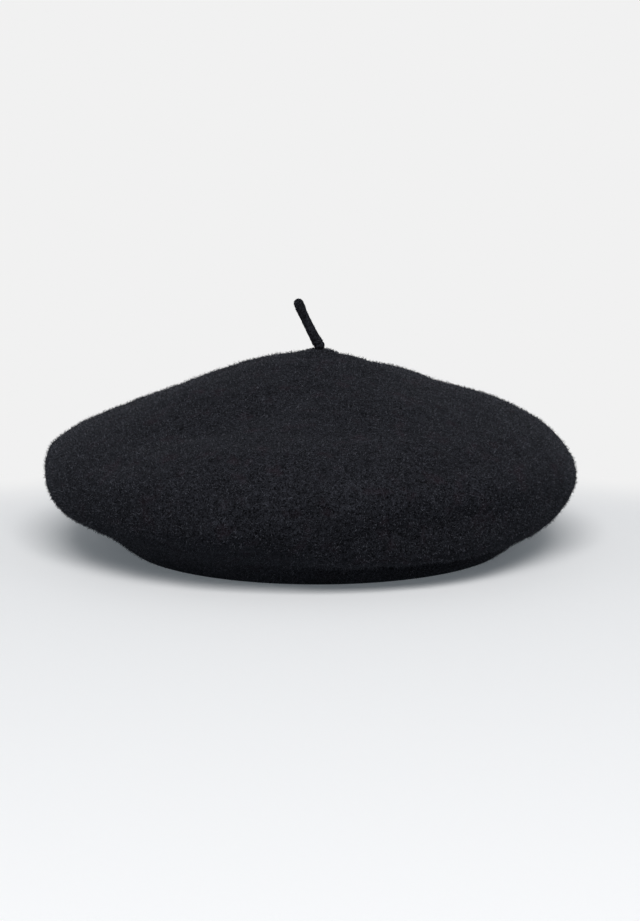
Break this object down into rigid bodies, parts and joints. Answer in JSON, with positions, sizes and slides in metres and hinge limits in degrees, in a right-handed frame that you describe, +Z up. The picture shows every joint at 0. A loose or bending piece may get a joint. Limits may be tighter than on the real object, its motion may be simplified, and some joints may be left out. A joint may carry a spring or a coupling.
{
  "type": "beret",
  "caption": "Round soft wool-felt beret with a full crown, tucked-in underside and a short felted stalk that leans at the crown; lined, with a leather sweatband.",
  "frame": {"origin": "centre of the beret's bounding box in plan, on the surface that its hem stands on", "axes": "+Z up through the crown, +Y towards the back of the head (bow and band joint), +X to the side that the care label hangs on; the stalk leans towards -X"},
  "size_m": [0.2793, 0.2786, 0.1309],
  "materials": {
    "wool_felt": "matte",
    "wool_yarn": "matte",
    "leather": "satin",
    "satin": "satin",
    "ribbon": "satin",
    "label_tape": "satin",
    "thread": "matte"
  },
  "bodies": {
    "beret": {"felt_body": "wool_felt", "sweatband": "leather", "band_stitches": "thread", "butt_stitches": "thread", "lining_side": "satin", "lining_tip": "satin", "lining_stitches": "thread", "bow_loops": "ribbon", "bow_wrap": "ribbon", "bow_tacks": "thread", "label_tab": "label_tape", "label_stitches": "thread", "anchor_knot": "wool_yarn", "root_yarn": "wool_yarn", "anchor_stitches": "thread"},
    "stalk_root": {"stalk_root": "wool_felt"},
    "stalk": {"stalk": "wool_felt"},
    "care_label": {"care_label": "label_tape"}
  },
  "joints": [
    {"name": "stalk_side_lean", "type": "hinge", "parent": "beret", "child": "stalk_root", "pos_m": [0.0042, 0, 0.1053], "axis": [0, 1, 0], "range_deg": [-24, 76], "stiffness_Nm_per_rad": 0.01},
    {"name": "stalk_fore_lean", "type": "hinge", "parent": "stalk_root", "child": "stalk", "pos_m": [0.0042, 0, 0.1053], "axis": [0.8988, 0, 0.4384], "range_deg": [-35, 35], "stiffness_Nm_per_rad": 0.01},
    {"name": "care_label_swing", "type": "hinge", "parent": "beret", "child": "care_label", "pos_m": [0.0933, 0, 0.0224], "axis": [0, 1, 0], "range_deg": [0, 120]}
  ]
}
